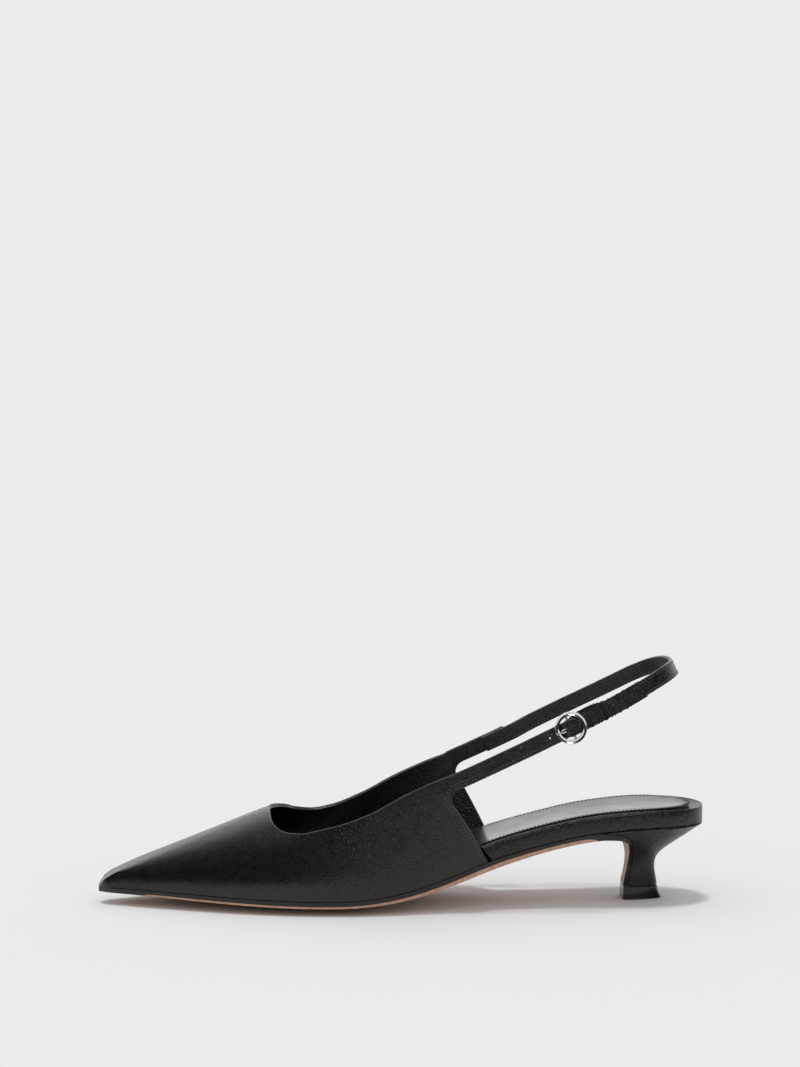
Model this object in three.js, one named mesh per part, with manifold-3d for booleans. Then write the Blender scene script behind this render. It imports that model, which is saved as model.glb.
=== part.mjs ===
// Slingback pump with a pointed toe, a low flared heel and a buckled heel strap.
// Left shoe. x runs from the toe tip (0) to the back of the seat, y to the medial side, z up.
import * as THREE from "three";
import { mergeVertices } from "three/addons/utils/BufferGeometryUtils.js";
import Module from "manifold-3d";

const wasm = await Module();
wasm.setup();

// Driving sizes, in millimetres
const shoeLength = 270;        // toe tip to back of the seat
const ballWidth = 75;          // sole across the ball
const seatWidth = 50;          // sole across the heel seat
const heelHeight = 35;         // floor to the underside of the footbed at the back
const toeSpring = 5.4;         // how far the toe is drawn up off the floor
const soleThickness = 3;       // sole edge at the ball
const soleCrown = 3.4;         // how far the tread bulges below the sole edge
const vampHeight = 35.6;       // crest of the vamp above the feather line at the throat
const upperWall = 1.6;         // leather and lining together
const footbedHeight = 7.8;     // wrapped edge of the footbed at the waist and seat
const footbedDish = 1.6;       // hollow of the seat
const beadHeight = 0.9;        // rolled rim round the seat
const sockThickness = 1.2;     // padded sock on the footbed
const toeSnub = 5;             // length of the rounding at the toe tip
const throatStart = 75.5;      // toe tip to the front of the throat
const strapHeight = 105;       // middle of the heel strap above the floor at the back
const strapReach = 256;        // toe tip to the back of the heel strap
const strapSpread = 31;        // half the distance between the straps beside the ankle
const strapWidth = 7;
const strapThickness = 1.3;
const tabWidth = 7.8;          // gathered tab that carries the buckle
const tabThickness = 0.8;
const buckleRadius = 6.15;     // middle of the ring's band
const buckleBand = 2;          // width of the band, seen from the front
const buckleDepth = 1.3;
const barRadius = 0.5;
const prongRadius = 0.5;
const tipHeight = 6;           // top piece under the heel
const tipLength = 18.6;
const tipWidth = 13;
const flapThickness = 1.7;     // sole leather carried down the heel breast
const clearance = 0.3;

// Where things stand along the shoe
const lateralRearFoot = 170.5;
const lateralRearTop = 147;
const medialRearFoot = 176.2;
const medialRearTop = 155.5;
const breastTop = 223.5;       // front edge of the heel under the footbed
const breastFoot = 233;        // front of the heel at the floor
const buckleAt = 206.5;        // middle of the buckle
const tabEnd = 238.5;          // stitched end of the gathered tab
const strapLap = 174;          // medial start of the heel strap
const stubEnd = 184;           // end of the medial quarter's own strap

const lateral = -1;
const medial = 1;

// Sole outline: half width as shares of the ball and of the seat, swing as a share of the ball
const outline = [
  { at: 0.000, ball: 0.058, seat: 0.00, swing: 0.040 },
  { at: 0.037, ball: 0.122, seat: 0.00, swing: 0.038 },
  { at: 0.078, ball: 0.196, seat: 0.00, swing: 0.036 },
  { at: 0.119, ball: 0.260, seat: 0.00, swing: 0.033 },
  { at: 0.174, ball: 0.343, seat: 0.00, swing: 0.030 },
  { at: 0.233, ball: 0.417, seat: 0.00, swing: 0.023 },
  { at: 0.296, ball: 0.474, seat: 0.00, swing: 0.016 },
  { at: 0.352, ball: 0.498, seat: 0.00, swing: 0.006 },
  { at: 0.389, ball: 0.500, seat: 0.00, swing: -0.005 },
  { at: 0.437, ball: 0.482, seat: 0.00, swing: -0.020 },
  { at: 0.489, ball: 0.372, seat: 0.10, swing: -0.033 },
  { at: 0.548, ball: 0.250, seat: 0.19, swing: -0.043 },
  { at: 0.611, ball: 0.100, seat: 0.35, swing: -0.043 },
  { at: 0.667, ball: 0.025, seat: 0.42, swing: -0.036 },
  { at: 0.741, ball: 0.000, seat: 0.45, swing: -0.025 },
  { at: 0.815, ball: 0.000, seat: 0.47, swing: -0.013 },
  { at: 0.889, ball: 0.000, seat: 0.49, swing: -0.006 },
  { at: 0.944, ball: 0.000, seat: 0.50, swing: 0.000 },
  { at: 1.000, ball: 0.000, seat: 0.50, swing: 0.000 },
];

// Side line: lower sole edge from the toe spring and the heel height, crown and edge thickness
const sideLine = [
  { at: 0.000, spring: 0.45, rise: 0.085, crown: 0.15, edge: 0.70 },
  { at: 0.074, spring: 0.45, rise: 0.085, crown: 0.50, edge: 0.75 },
  { at: 0.119, spring: 0.38, rise: 0.086, crown: 0.70, edge: 0.80 },
  { at: 0.174, spring: 0.26, rise: 0.088, crown: 0.90, edge: 0.90 },
  { at: 0.233, spring: 0.14, rise: 0.090, crown: 1.00, edge: 0.95 },
  { at: 0.296, spring: 0.03, rise: 0.093, crown: 1.06, edge: 1.00 },
  { at: 0.352, spring: 0.00, rise: 0.092, crown: 1.06, edge: 1.00 },
  { at: 0.407, spring: 0.00, rise: 0.097, crown: 1.06, edge: 1.00 },
  { at: 0.444, spring: 0.00, rise: 0.114, crown: 0.98, edge: 1.05 },
  { at: 0.489, spring: 0.00, rise: 0.158, crown: 0.90, edge: 1.12 },
  { at: 0.526, spring: 0.00, rise: 0.218, crown: 0.82, edge: 1.20 },
  { at: 0.563, spring: 0.00, rise: 0.297, crown: 0.75, edge: 1.30 },
  { at: 0.604, spring: 0.00, rise: 0.406, crown: 0.66, edge: 1.38 },
  { at: 0.644, spring: 0.00, rise: 0.517, crown: 0.58, edge: 1.38 },
  { at: 0.696, spring: 0.00, rise: 0.640, crown: 0.48, edge: 1.25 },
  { at: 0.748, spring: 0.00, rise: 0.749, crown: 0.40, edge: 1.10 },
  { at: 0.804, spring: 0.00, rise: 0.834, crown: 0.30, edge: 1.10 },
  { at: 0.856, spring: 0.00, rise: 0.872, crown: 0.20, edge: 1.20 },
  { at: 0.926, spring: 0.00, rise: 0.914, crown: 0.20, edge: 1.00 },
  { at: 1.000, spring: 0.00, rise: 0.914, crown: 0.20, edge: 1.00 },
];

// Last above the feather line: crest as a share of the vamp height, flare as a share of the ball
const last = [
  { at: 0.000, crest: 0.155, flare: 0.000 },
  { at: 0.019, crest: 0.230, flare: 0.000 },
  { at: 0.061, crest: 0.340, flare: 0.000 },
  { at: 0.107, crest: 0.466, flare: 0.000 },
  { at: 0.152, crest: 0.602, flare: 0.000 },
  { at: 0.200, crest: 0.750, flare: 0.000 },
  { at: 0.244, crest: 0.896, flare: 0.004 },
  { at: 0.280, crest: 1.000, flare: 0.006 },
  { at: 0.311, crest: 1.098, flare: 0.008 },
  { at: 0.356, crest: 1.290, flare: 0.010 },
  { at: 0.400, crest: 1.562, flare: 0.014 },
  { at: 0.444, crest: 1.910, flare: 0.020 },
  { at: 0.500, crest: 2.330, flare: 0.045 },
  { at: 0.556, crest: 2.710, flare: 0.090 },
  { at: 0.611, crest: 3.050, flare: 0.130 },
  { at: 0.660, crest: 3.300, flare: 0.150 },
];

// Topline of the quarters: height above the floor as a share of the strap height at the back
const topline = [
  { at: 0.2796, lateral: 0.404, medial: 0.4030 },
  { at: 0.2815, lateral: 0.377, medial: 0.4022 },
  { at: 0.287, lateral: 0.355, medial: 0.4015 },
  { at: 0.296, lateral: 0.340, medial: 0.396 },
  { at: 0.311, lateral: 0.331, medial: 0.384 },
  { at: 0.326, lateral: 0.331, medial: 0.367 },
  { at: 0.356, lateral: 0.347, medial: 0.354 },
  { at: 0.389, lateral: 0.370, medial: 0.367 },
  { at: 0.444, lateral: 0.424, medial: 0.423 },
  { at: 0.489, lateral: 0.486, medial: 0.486 },
  { at: 0.548, lateral: 0.554, medial: 0.554 },
  { at: 0.585, lateral: 0.588, medial: 0.588 },
];

// Footbed: thickness as a share of its height at the seat, with its dish and rim
const footbed = [
  { at: 0.000, thick: 0.26, dish: 0.0, bead: 0.0 },
  { at: 0.333, thick: 0.28, dish: 0.1, bead: 0.0 },
  { at: 0.444, thick: 0.33, dish: 0.3, bead: 0.0 },
  { at: 0.519, thick: 0.54, dish: 0.5, bead: 0.1 },
  { at: 0.574, thick: 0.82, dish: 0.6, bead: 0.5 },
  { at: 0.619, thick: 1.00, dish: 0.6, bead: 1.0 },
  { at: 0.741, thick: 1.00, dish: 0.7, bead: 1.0 },
  { at: 0.870, thick: 0.97, dish: 1.0, bead: 1.0 },
  { at: 0.960, thick: 0.93, dish: 0.7, bead: 1.0 },
  { at: 1.000, thick: 0.90, dish: 0.0, bead: 0.0 },
];

// Heel from the top piece up: level from the top piece to under the seat, front and back as
// shares of the run from the breast to the back of the seat, half width as a share of the seat
const heelSide = [
  { level: 0.000, front: 0.060, back: 0.443, half: 0.120 },
  { level: 0.086, front: 0.070, back: 0.432, half: 0.112 },
  { level: 0.241, front: 0.095, back: 0.410, half: 0.104 },
  { level: 0.397, front: 0.113, back: 0.405, half: 0.110 },
  { level: 0.549, front: 0.124, back: 0.445, half: 0.166 },
  { level: 0.689, front: 0.107, back: 0.575, half: 0.256 },
  { level: 0.805, front: 0.085, back: 0.695, half: 0.340 },
  { level: 0.883, front: 0.050, back: 0.780, half: 0.392 },
  { level: 0.953, front: -0.010, back: 0.855, half: 0.432 },
  { level: 1.000, front: -0.081, back: 0.905, half: 0.456 },
];

// Line of the heel strap: one side, from its root at the quarter to the back of the heel
const strapLine = [
  { at: 0.500, height: 0.484, spread: 1.02 },
  { at: 0.548, height: 0.518, spread: 1.02 },
  { at: 0.590, height: 0.562, spread: 1.01 },
  { at: 0.678, height: 0.663, spread: 1.00 },
  { at: 0.766, height: 0.771, spread: 0.99 },
  { at: 0.815, height: 0.832, spread: 0.95 },
  { at: 0.856, height: 0.885, spread: 0.88 },
  { at: 0.890, height: 0.932, spread: 0.79 },
  { at: 0.920, height: 0.970, spread: 0.63 },
  { at: 0.940, height: 0.992, spread: 0.50 },
];

// Tables and curves
function smoothColumn(rows, key, name) {
  const xs = rows.map((row) => row[key]);
  const ys = rows.map((row) => row[name]);
  const slopes = xs.map((x, i) => {
    if (i === 0 || i === xs.length - 1) return 0;
    const left = (ys[i] - ys[i - 1]) / (x - xs[i - 1]);
    const right = (ys[i + 1] - ys[i]) / (xs[i + 1] - x);
    return left * right <= 0 ? 0 : (2 * left * right) / (left + right);
  });
  const end = xs.length - 1;
  slopes[0] = (ys[1] - ys[0]) / (xs[1] - xs[0]);
  slopes[end] = (ys[end] - ys[end - 1]) / (xs[end] - xs[end - 1]);
  return (value) => {
    const x = Math.min(Math.max(value, xs[0]), xs[end]);
    let i = 0;
    while (i < end - 1 && x > xs[i + 1]) i += 1;
    const span = xs[i + 1] - xs[i];
    const t = (x - xs[i]) / span;
    const a = (1 + 2 * t) * (1 - t) * (1 - t);
    const b = t * (1 - t) * (1 - t) * span;
    const c = t * t * (3 - 2 * t);
    const d = t * t * (t - 1) * span;
    return a * ys[i] + b * slopes[i] + c * ys[i + 1] + d * slopes[i + 1];
  };
}

function along(rows, name) {
  const column = smoothColumn(rows, "at", name);
  return (x) => column(x / shoeLength);
}

function mix(a, b, t) {
  return a + (b - a) * t;
}

function ease(t) {
  const k = Math.min(Math.max(t, 0), 1);
  return k * k * (3 - 2 * k);
}

const outlineBall = along(outline, "ball");
const outlineSeat = along(outline, "seat");
const outlineSwing = along(outline, "swing");
const lineSpring = along(sideLine, "spring");
const lineRise = along(sideLine, "rise");
const lineCrown = along(sideLine, "crown");
const lineEdge = along(sideLine, "edge");
const lastCrest = along(last, "crest");
const lastFlare = along(last, "flare");
const toplineLateral = along(topline, "lateral");
const toplineMedial = along(topline, "medial");
const footbedThick = along(footbed, "thick");
const footbedHollow = along(footbed, "dish");
const footbedBead = along(footbed, "bead");

// Rounding of the toe tip and of the back of the seat
function snub(x, length) {
  const k = Math.min(Math.max(x / length, 0), 1);
  return Math.sqrt(1 - (1 - k) ** 2);
}

const seatRoundStart = 0.824 * shoeLength;

function seatRound(x) {
  const k = Math.min(Math.max((x - seatRoundStart) / (shoeLength - seatRoundStart), 0), 1);
  return Math.sqrt(1 - k ** 3.6);
}

function centreLine(x) {
  return outlineSwing(x) * ballWidth;
}

function halfWidth(x) {
  const width = outlineBall(x) * ballWidth + outlineSeat(x) * seatWidth;
  return width * snub(x, toeSnub) * seatRound(x);
}

function lowerEdge(x) {
  return lineSpring(x) * toeSpring + lineRise(x) * heelHeight;
}

function toplineHeight(x, side) {
  return (side === lateral ? toplineLateral(x) : toplineMedial(x)) * strapHeight;
}

function featherLine(x) {
  return lowerEdge(x) + lineEdge(x) * soleThickness;
}

// Solids from rings of points
function closedGeometry(points, faces) {
  const geometry = new THREE.BufferGeometry();
  geometry.setAttribute("position", new THREE.Float32BufferAttribute(points.flat(), 3));
  geometry.setIndex(faces.flat());
  const merged = mergeVertices(geometry, 1e-4);
  const index = merged.getIndex().array;
  const kept = [];
  for (let i = 0; i < index.length; i += 3) {
    const [a, b, c] = [index[i], index[i + 1], index[i + 2]];
    if (a !== b && b !== c && c !== a) kept.push(a, b, c);
  }
  merged.setIndex(kept);
  return pointOutwards(merged);
}

function pointOutwards(geometry) {
  const position = geometry.getAttribute("position");
  const index = geometry.getIndex().array;
  const a = new THREE.Vector3();
  const b = new THREE.Vector3();
  const c = new THREE.Vector3();
  let volume = 0;
  for (let i = 0; i < index.length; i += 3) {
    a.fromBufferAttribute(position, index[i]);
    b.fromBufferAttribute(position, index[i + 1]);
    c.fromBufferAttribute(position, index[i + 2]);
    volume += a.dot(b.cross(c));
  }
  if (volume < 0) {
    const turned = [];
    for (let i = 0; i < index.length; i += 3) turned.push(index[i], index[i + 2], index[i + 1]);
    geometry.setIndex(turned);
  }
  return geometry;
}

function ringFaces(ringCount, size) {
  const faces = [];
  for (let i = 0; i < ringCount - 1; i += 1) {
    for (let j = 0; j < size; j += 1) {
      const a = i * size + j;
      const b = i * size + ((j + 1) % size);
      faces.push([a, b, b + size], [a, b + size, a + size]);
    }
  }
  return faces;
}

// A loft through rings of equally many points, each end closed by a fan round its middle
function loft(rings) {
  const size = rings[0].length;
  const points = rings.flat();
  const faces = ringFaces(rings.length, size);
  const closeEnd = (ring, first, turned) => {
    if (ringArea(ring) < 1e-3) return;
    const hub = points.length;
    points.push([0, 1, 2].map((axis) => ring.reduce((sum, p) => sum + p[axis], 0) / size));
    for (let j = 0; j < size; j += 1) {
      const a = first + j;
      const b = first + ((j + 1) % size);
      faces.push(turned ? [hub, a, b] : [hub, b, a]);
    }
  };
  closeEnd(rings[0], 0, false);
  closeEnd(rings[rings.length - 1], (rings.length - 1) * size, true);
  return closedGeometry(points, faces);
}

function ringArea(ring) {
  const sum = new THREE.Vector3();
  ring.forEach((p, j) => {
    const next = new THREE.Vector3(...ring[(j + 1) % ring.length]);
    sum.add(new THREE.Vector3(...p).cross(next));
  });
  return sum.length() / 2;
}

// Stations crowded towards both rounded ends
function stations(from, to, count, tight) {
  return Array.from({ length: count + 1 }, (_, i) => {
    const t = i / count;
    const crowded = 0.5 - 0.5 * Math.cos(Math.PI * t);
    return mix(from, to, mix(t, crowded, tight));
  });
}

function toManifold(geometry) {
  const plain = geometry.clone();
  plain.deleteAttribute("normal");
  plain.deleteAttribute("uv");
  const merged = mergeVertices(plain, 1e-4);
  return new wasm.Manifold(new wasm.Mesh({
    numProp: 3,
    vertProperties: new Float32Array(merged.getAttribute("position").array),
    triVerts: new Uint32Array(merged.getIndex().array),
  }));
}

function toGeometry(solid) {
  const mesh = solid.getMesh();
  const geometry = new THREE.BufferGeometry();
  geometry.setAttribute("position", new THREE.Float32BufferAttribute(mesh.vertProperties, 3));
  geometry.setIndex(Array.from(mesh.triVerts));
  return geometry;
}

const shoe = new THREE.Group();

function addPiece(name, geometry, colour, roughness, metalness) {
  geometry.computeVertexNormals();
  const material = new THREE.MeshStandardMaterial({ color: colour, roughness, metalness });
  const mesh = new THREE.Mesh(geometry, material);
  mesh.name = name;
  shoe.add(mesh);
}

const blackLeather = [0x1a1819, 0.38, 0];
const tanLeather = [0xb98d66, 0.6, 0];
const sockLeather = [0x232224, 0.3, 0];
const blackRubber = [0x1c1b1c, 0.45, 0];
const silver = [0xc9cacc, 0.2, 1];

// Last surface: a point of the upper at station x, turned by angle up from the feather line
const puffHeight = 8;
const puffOut = 1;
const flareHeight = 40;

function crestHeight(x) {
  return lastCrest(x) * vampHeight * snub(x, 0.6 * toeSnub);
}

function lastPoint(x, angle, side) {
  const rise = crestHeight(x) * Math.sin(angle);
  const puff = puffOut * ease(rise / puffHeight) * snub(x, 2 * toeSnub);
  const flare = lastFlare(x) * ballWidth * Math.min(rise / flareHeight, 1);
  const half = (halfWidth(x) + puff + flare) * Math.cos(angle);
  const centre = centreLine(x) * (1 - 0.8 * ease(rise / flareHeight) * ease((x - throatStart) / throatStart));
  return new THREE.Vector3(x, centre + side * half, featherLine(x) + clearance + rise);
}

function angleAtHeight(x, z) {
  const share = (z - featherLine(x) - clearance) / crestHeight(x);
  return Math.asin(Math.min(Math.max(share, 0), 1));
}

// Upper: columns run from the feather line up to the topline, from the lateral rear
// round the toe to the medial rear
const columnsPerSide = 28;
const rowsUp = 12;
const footCrowding = 1.7;      // columns stand closer together at the toe
const throatCrowding = { [lateral]: 2.1, [medial]: 1.7 };
const toeRowCrowding = 1.9;    // and the rows of the middle columns do too
const straightFrom = 0.4;      // share of a side from which the columns turn straight

function columnEnds(place) {
  const side = place < 0 ? lateral : medial;
  const share = Math.abs(place);
  const rearFoot = side === lateral ? lateralRearFoot : medialRearFoot;
  const rearTop = side === lateral ? lateralRearTop : medialRearTop;
  const foot = rearFoot * share ** footCrowding;
  const top = throatStart + (rearTop - throatStart) * share ** throatCrowding[side];
  return { side, foot, top };
}

function upperColumn(place) {
  const { side, foot, top } = columnEnds(place);
  const topZ = place === 0 ? Infinity : toplineHeight(top, side);
  const topAngle = angleAtHeight(top, topZ);
  const fine = 90;
  const points = Array.from({ length: fine + 1 }, (_, i) => {
    const t = i / fine;
    const angle = topAngle * Math.sin((Math.PI / 2) * t) ** mix(0.7, 1.0, ease(Math.abs(place) * 2));
    const climbed = Math.sin(angle) / Math.sin(topAngle);
    const curved = t ** mix(1.9, 1.0, ease(Math.abs(place) * 1.6));
    const forward = mix(curved, climbed, ease((Math.abs(place) - straightFrom) / (1 - straightFrom)));
    return lastPoint(mix(foot, top, forward), angle, side);
  });
  return spaced(points, rowsUp, mix(toeRowCrowding, 1, ease(Math.abs(place) * 5)));
}

// Points at steps along a line, closer together near its start where the crowding is over 1
function spaced(points, count, crowding) {
  const lengths = [0];
  for (let i = 1; i < points.length; i += 1) {
    lengths.push(lengths[i - 1] + points[i].distanceTo(points[i - 1]));
  }
  const total = lengths[lengths.length - 1];
  let k = 0;
  return Array.from({ length: count + 1 }, (_, i) => {
    const wanted = total * (i / count) ** crowding;
    while (k < lengths.length - 2 && lengths[k + 1] < wanted) k += 1;
    const t = (wanted - lengths[k]) / (lengths[k + 1] - lengths[k]);
    return points[k].clone().lerp(points[k + 1], Math.min(Math.max(t, 0), 1));
  });
}

function quarterColumns() {
  const outer = [];
  for (let i = -columnsPerSide; i <= columnsPerSide; i += 1) {
    outer.push(upperColumn(i / columnsPerSide));
  }
  const inner = outer.map((column, i) => column.map((point, j) => {
    const across = outer[Math.min(i + 1, outer.length - 1)][j].clone().sub(outer[Math.max(i - 1, 0)][j]);
    const up = column[Math.min(j + 1, rowsUp)].clone().sub(column[Math.max(j - 1, 0)]);
    const inward = across.cross(up).normalize();
    const moved = point.clone().addScaledVector(inward, upperWall);
    if (j === 0) moved.z = featherLine(moved.x) + clearance;
    return moved;
  }));
  return { outer, inner };
}

// A wall between two matching grids of columns. A strap's columns have only the top rows.
// Every open edge of the outer face is closed across the wall.
function wallGeometry(outer, inner) {
  const rows = rowsUp + 1;
  const size = outer.length * rows;
  const at = (i, j) => i * rows + j;
  const quads = [];
  for (let i = 0; i < outer.length - 1; i += 1) {
    for (let j = 0; j < rowsUp; j += 1) {
      const corners = [outer[i][j], outer[i][j + 1], outer[i + 1][j + 1], outer[i + 1][j]];
      if (corners.every(Boolean)) quads.push([at(i, j), at(i, j + 1), at(i + 1, j + 1), at(i + 1, j)]);
    }
  }
  const edges = new Set(quads.flatMap((q) => q.map((a, k) => `${a},${q[(k + 1) % 4]}`)));
  const walls = [...edges].map((edge) => edge.split(",").map(Number))
    .filter(([a, b]) => !edges.has(`${b},${a}`))
    .map(([a, b]) => [b, a, a + size, b + size]);
  const insides = quads.map(([a, b, c, d]) => [a, d, c, b].map((k) => k + size));
  const faces = [...quads, ...insides, ...walls].flatMap(([a, b, c, d]) => [[a, b, c], [a, c, d]]);
  const points = [...outer.flat(), ...inner.flat()].map((p) => (p ? p.toArray() : null));
  return withoutSpares(points, faces);
}

function withoutSpares(points, faces) {
  const used = [...new Set(faces.flat())].sort((a, b) => a - b);
  const place = new Map(used.map((name, k) => [name, k]));
  return closedGeometry(used.map((name) => points[name]), faces.map((f) => f.map((k) => place.get(k))));
}

// Heel strap's line: from the lateral root round the back to the medial root
const strapLineHeight = along(strapLine, "height");
const strapLineSpread = along(strapLine, "spread");
const strapBack = strapReach;
const strapFront = strapLine[0].at * shoeLength;
const sideLean = 8;            // degrees that the strap leans in beside the ankle
const backLean = 26;           // degrees that it leans forward at the back

function strapLinePoint(turn) {
  // turn runs from -1 at the lateral root to 1 at the medial root, 0 at the back
  const side = turn < 0 ? lateral : medial;
  const x = mix(strapFront, strapBack, Math.cos((Math.PI / 2) * Math.abs(turn)) ** 0.9);
  const z = strapLineHeight(x) * strapHeight;
  const free = side * strapLineSpread(x) * strapSpread * strapRound(x);
  const rearTop = side === lateral ? lateralRearTop : medialRearTop;
  const inWall = lastPoint(x, angleAtHeight(x, z), side).y - side * upperWall / 2;
  return new THREE.Vector3(x, mix(inWall, free, ease((x - rearTop) / strapSpread)), z);
}

function strapRound(x) {
  const start = strapBack - 8;
  const k = Math.min(Math.max((x - start) / (strapBack - start), 0), 1);
  return Math.sqrt(1 - k ** 2.2);
}

const strapPath = new THREE.CatmullRomCurve3(
  Array.from({ length: 41 }, (_, i) => strapLinePoint(-1 + i / 20)),
  false,
  "centripetal",
);
const strapPathLength = strapPath.getLength();

// Place on the strap line where it passes station x on one side
function strapPlaceAt(x, side) {
  let low = side === lateral ? 0 : 0.5;
  let high = low + 0.5;
  for (let i = 0; i < 40; i += 1) {
    const middle = (low + high) / 2;
    const before = strapPath.getPointAt(middle).x < x;
    if (before === (side === lateral)) low = middle;
    else high = middle;
  }
  return low * strapPathLength;
}

function strapFrame(place) {
  const share = Math.min(Math.max(place / strapPathLength, 0), 1);
  const point = strapPath.getPointAt(share);
  const tangent = strapPath.getTangentAt(share);
  const outward = new THREE.Vector3(tangent.y, -tangent.x, 0).normalize();
  const behind = Math.max(outward.x, 0);
  const lean = THREE.MathUtils.degToRad(mix(sideLean, backLean, behind));
  const upward = new THREE.Vector3(0, 0, Math.cos(lean)).addScaledVector(outward, -Math.sin(lean));
  upward.addScaledVector(tangent, -upward.dot(tangent)).normalize();
  const normal = upward.clone().cross(tangent).normalize();
  if (normal.dot(outward) < 0) normal.negate();
  return { point, tangent, upward, normal };
}

function onStrap(place, out, up) {
  const { point, upward, normal } = strapFrame(place);
  return point.clone().addScaledVector(normal, out).addScaledVector(upward, up);
}

// A strip of leather on the strap line. Stops give place, outward offset and both edges.
function stripAlong(stops, thickness) {
  const rings = stops.map((stop, i) => {
    const before = stops[Math.max(i - 1, 0)];
    const after = stops[Math.min(i + 1, stops.length - 1)];
    const run = new THREE.Vector2(after.place - before.place, after.out - before.out).normalize();
    const side = new THREE.Vector2(-run.y, run.x).multiplyScalar(thickness / 2);
    return [
      onStrap(stop.place + side.x, stop.out + side.y, stop.low),
      onStrap(stop.place + side.x, stop.out + side.y, stop.high),
      onStrap(stop.place - side.x, stop.out - side.y, stop.high),
      onStrap(stop.place - side.x, stop.out - side.y, stop.low),
    ].map((p) => p.toArray());
  });
  const faces = ringFaces(rings.length, 4);
  const end = (rings.length - 1) * 4;
  faces.push([0, 2, 1], [0, 3, 2], [end, end + 1, end + 2], [end, end + 2, end + 3]);
  return closedGeometry(rings.flat(), faces);
}

function evenStops(from, to, step, shape) {
  const count = Math.max(2, Math.ceil(Math.abs(to - from) / step));
  return Array.from({ length: count + 1 }, (_, i) => shape(mix(from, to, i / count)));
}

const buckleCentre = strapPlaceAt(buckleAt, lateral);
const ringOut = 1.6;           // outward offset of the ring from the strap line
const barOut = 0.3;
const billetEnd = buckleRadius - buckleBand / 2 - 2 * clearance;   // tip of the billet, inside the ring
const billetLift = 2.75;       // billet over the bar and the tab's fold
const billetClimb = buckleRadius - buckleBand / 2 - clearance;   // it climbs inside the ring
const billetRun = 3.4;
const stepAlong = 4;

function tipNarrowing(distance, half) {
  const k = Math.min(Math.max(distance / half, 0), 1);
  return Math.sqrt(Math.max(1 - (1 - k) ** 2, 0.12));
}

// Lateral strap of the quarter: it widens into the quarter and ends as the buckle's billet
function billetStop(place) {
  const past = place - buckleCentre;
  const rise = ease((past + billetClimb) / billetRun) * (1 - 0.42 * ease((past - 1.6) / 3.6));
  const out = mix(0, billetLift, rise);
  const half = (strapWidth / 2) * tipNarrowing(billetEnd - past, strapWidth / 2);
  return { place, out, low: -half, high: half };
}

const lateralRoot = strapPlaceAt(lateralRearTop, lateral);
const medialRoot = strapPlaceAt(medialRearTop, medial);
const medialStubEnd = strapPlaceAt(stubEnd, medial);
const cornerRadius = 4.5;      // the quarter's rear edge is rounded into the strap
const cornerSteps = [0.15, 0.5, 1.1, 2.1, 3.5, 5.5];
const strapRows = 3;           // rows of the quarter's wall that run on into the strap

// Distance along the strap from its root to the quarter's rear edge below the rounded corner
function edgeOffset(side, root) {
  const corner = upperColumn(side)[rowsUp - strapRows];
  const { point, tangent } = strapFrame(root);
  return Math.abs(corner.sub(point).dot(tangent));
}

function cornerFlare(distance) {
  const k = Math.min(Math.max(1 - distance / cornerRadius, 0), 1);
  return cornerRadius * (1 - Math.sqrt(1 - k * k));
}

function strapColumn(stop, face) {
  const column = Array.from({ length: rowsUp + 1 }, () => null);
  for (let j = 0; j <= strapRows; j += 1) {
    const up = mix(stop.low, stop.high, j / strapRows);
    column[rowsUp - strapRows + j] = onStrap(stop.place, stop.out + (face * strapThickness) / 2, up);
  }
  return column;
}

function lateralStops() {
  const edge = lateralRoot + edgeOffset(lateral, lateralRoot);
  const corner = cornerSteps.map((step) => {
    const stop = billetStop(edge + step);
    return { ...stop, low: stop.low - cornerFlare(step) };
  });
  const free = evenStops(edge + 8, buckleCentre - 9.5, stepAlong, billetStop);
  const overBar = evenStops(buckleCentre - 8.4, buckleCentre + billetEnd, 0.95, billetStop);
  return [...corner, ...free, ...overBar];
}

function medialStops() {
  const edge = medialRoot - edgeOffset(medial, medialRoot);
  const half = strapWidth / 2;
  const stubStop = (place) => ({ place, out: 0, low: -half - cornerFlare(edge - place), high: half });
  const corner = cornerSteps.map((step) => stubStop(edge - step));
  return [...corner, ...evenStops(edge - 8, medialStubEnd, stepAlong, stubStop)];
}

// Holes of the billet: the prong's own, slotted because it passes at a slant, and a spare one
const holes = [
  { past: -3.4, radius: 0.8, stretch: 2.1 },
  { past: -10.2, radius: 0.5, stretch: 1 },
];

function punch({ past, radius, stretch }) {
  const shape = new THREE.CylinderGeometry(radius, radius, 8, 12);
  return toManifold(placeOnStrap(shape.scale(stretch, 1, 1), buckleCentre + past, 0, 0));
}

// Puts a shape on the strap: its x along the strap, y outward, z up the strap's width
function placeOnStrap(geometry, place, out, up) {
  const { point, tangent, upward, normal } = strapFrame(place);
  const across = normal.clone().cross(upward);
  if (across.dot(tangent) < 0) across.negate();
  const matrix = new THREE.Matrix4().makeBasis(across, normal, upward);
  const centre = point.clone().addScaledVector(normal, out).addScaledVector(upward, up);
  matrix.setPosition(centre);
  geometry.applyMatrix4(matrix);
  if (matrix.determinant() < 0) flipFaces(geometry);
  return geometry;
}

function flipFaces(geometry) {
  const index = geometry.getIndex().array;
  for (let i = 0; i < index.length; i += 3) {
    const kept = index[i + 1];
    index[i + 1] = index[i + 2];
    index[i + 2] = kept;
  }
}

// Upper: vamp and quarters in one wall, run on into the buckle's billet and the medial strap
function makeUpper() {
  const quarters = quarterColumns();
  const columns = (face, middle) => [
    ...lateralStops().reverse().map((stop) => strapColumn(stop, face)),
    ...middle,
    ...medialStops().map((stop) => strapColumn(stop, face)),
  ];
  const wall = toManifold(wallGeometry(columns(1, quarters.outer), columns(-1, quarters.inner)));
  return toGeometry(holes.reduce((solid, hole) => solid.subtract(punch(hole)), wall));
}

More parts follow.
